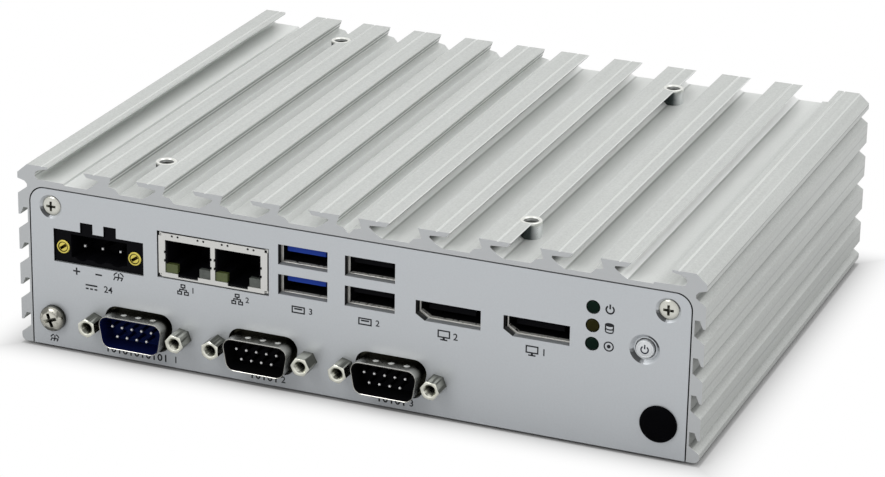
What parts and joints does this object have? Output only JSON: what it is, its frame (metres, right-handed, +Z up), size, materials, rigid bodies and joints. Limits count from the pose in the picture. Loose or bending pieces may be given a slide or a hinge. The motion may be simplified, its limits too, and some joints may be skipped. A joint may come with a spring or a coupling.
{
  "type": "fanless industrial pc",
  "caption": "Fanless box computer in a finned aluminium housing, with power, network, usb, display and serial sockets in its front panel and threaded pillars on top.",
  "frame": {"origin": "middle of the underside, at the centre of the housing's width and depth", "axes": "+Z up, +X to the right as the front panel is read, the front panel faces -Y"},
  "size_m": [0.1852, 0.1502, 0.0492],
  "materials": {
    "housing": "extruded, blasted, natural",
    "panels": "fine blasted, natural",
    "fasteners": "nickel plated",
    "tinned": "tin or nickel plated sheet",
    "brass": "turned",
    "gold": "gold plated",
    "black_plastic": "moulded",
    "blue_plastic": "moulded",
    "light_green": "tinted lens, off",
    "light_amber": "tinted lens, off",
    "light_clear": "clear lens, off",
    "circuit_board": "solder mask",
    "pad": "soft pad"
  },
  "bodies": {
    "case": {"housing": "housing", "front_panel": "panels", "rear_panel": "panels", "base_plate": "panels", "front_panel_screws": "fasteners", "rear_panel_screws": "fasteners", "base_screws": "fasteners", "ground_screw": "fasteners", "mounting_pillars": "fasteners", "hole_plug": "black_plastic", "button_switch": "black_plastic", "status_lights_green": "light_green", "status_light_amber": "light_amber", "light_carrier": "black_plastic", "power_header": "black_plastic", "power_header_pins": "tinned", "power_header_inserts": "brass", "network_shield": "tinned", "network_body": "black_plastic", "network_lights_green": "light_green", "network_lights_clear": "light_clear", "network_wires": "gold", "usb_blue_shell": "tinned", "usb_blue_tongues": "blue_plastic", "usb_black_shell": "tinned", "usb_black_tongues": "black_plastic", "usb_contacts": "gold", "display_shells": "tinned", "display_tongues": "black_plastic", "serial_shells": "tinned", "serial_insulator_blue": "blue_plastic", "serial_insulators_black": "black_plastic", "serial_pins": "gold", "serial_jackscrews": "tinned", "serial_board": "circuit_board", "board_link": "black_plastic", "main_board": "circuit_board", "board_spacers": "brass", "board_screws": "fasteners", "processor": "black_plastic", "thermal_pads": "pad", "heat_spreader": "housing", "memory_socket": "black_plastic", "memory_module": "circuit_board", "drive_socket": "black_plastic", "drive_card": "circuit_board", "drive_post": "brass", "coin_cell_holder": "black_plastic", "coin_cell": "fasteners", "coils": "black_plastic", "capacitors": "tinned"},
    "button": {"power_button": "fasteners"}
  },
  "joints": [
    {"name": "power_button_press", "type": "slide", "parent": "case", "child": "button", "axis": [0, 1, 0], "range_m": [0, 0.0005], "stiffness_N_per_m": 600, "springref_m": -0.0008}
  ]
}
